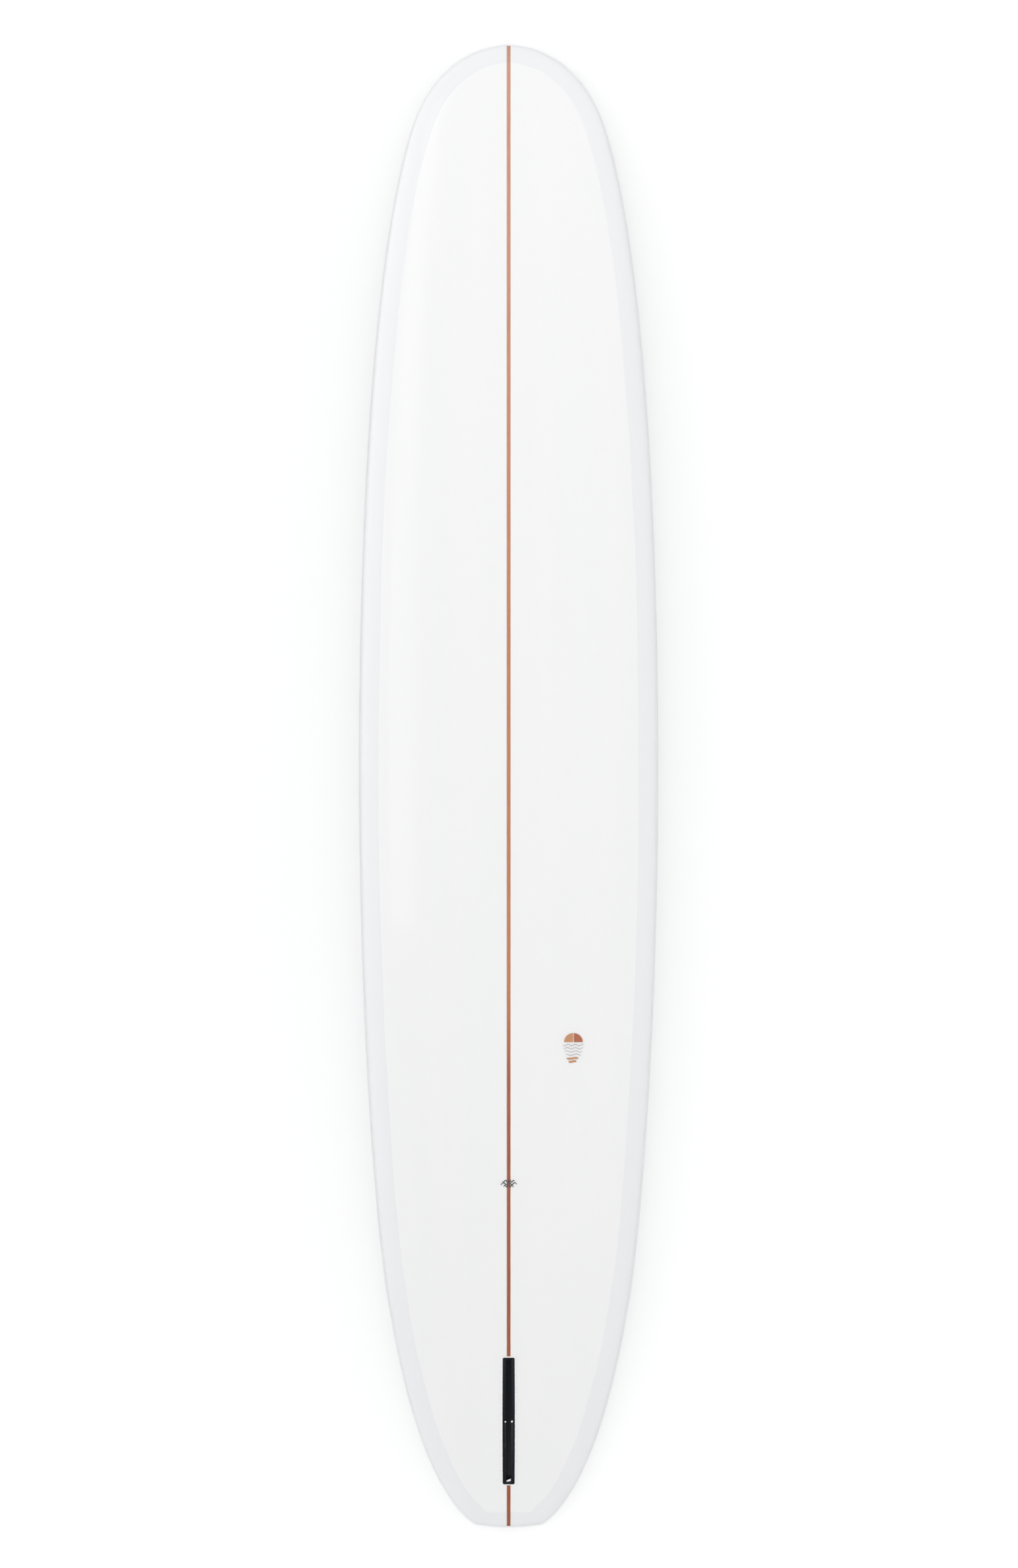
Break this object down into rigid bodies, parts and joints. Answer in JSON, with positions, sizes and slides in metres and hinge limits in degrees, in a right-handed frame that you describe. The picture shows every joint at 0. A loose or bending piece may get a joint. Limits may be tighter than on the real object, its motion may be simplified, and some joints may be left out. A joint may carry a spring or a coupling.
{
  "type": "longboard surfboard",
  "caption": "Round-nosed, square-tailed longboard surfboard with a wood stringer, clear glass laminates, a single fin box and a leash plug.",
  "frame": {"origin": "the middle of the bounding box's base; the board lies deck down on the deck edges of its nose and tail", "axes": "+Y towards the nose, +Z out of the board's bottom (the fin side), +X to the right when seen from above with the nose up"},
  "size_m": [0.607, 3.048, 0.1265],
  "materials": {
    "foam": "fine closed-cell foam",
    "stringer_wood": "reddish wood with lengthwise grain",
    "glue": "amber glue line",
    "laminate": "clear glass laminate, polished",
    "finish_coat": "clear gloss resin",
    "fin_box_plastic": "black moulded plastic, sanded flush",
    "resin": "milky cast resin",
    "plug_plastic": "white moulded plastic",
    "steel": "stainless",
    "decal_orange": "printed, under clear resin",
    "decal_dark": "printed, under clear resin"
  },
  "bodies": {
    "root": {"foam_left": "foam", "foam_right": "foam", "stringer": "stringer_wood", "glue_line_left": "glue", "glue_line_right": "glue", "bottom_laminate": "laminate", "deck_laminate_inner": "laminate", "deck_laminate_outer": "laminate", "bottom_finish_coat": "finish_coat", "fin_box_resin_bed": "resin", "fin_box": "fin_box_plastic", "leash_plug_resin_bed": "resin", "leash_plug_cup": "plug_plastic", "leash_plug_bar": "steel", "decal_disc": "decal_orange", "decal_small": "decal_dark"}
  },
  "joints": []
}
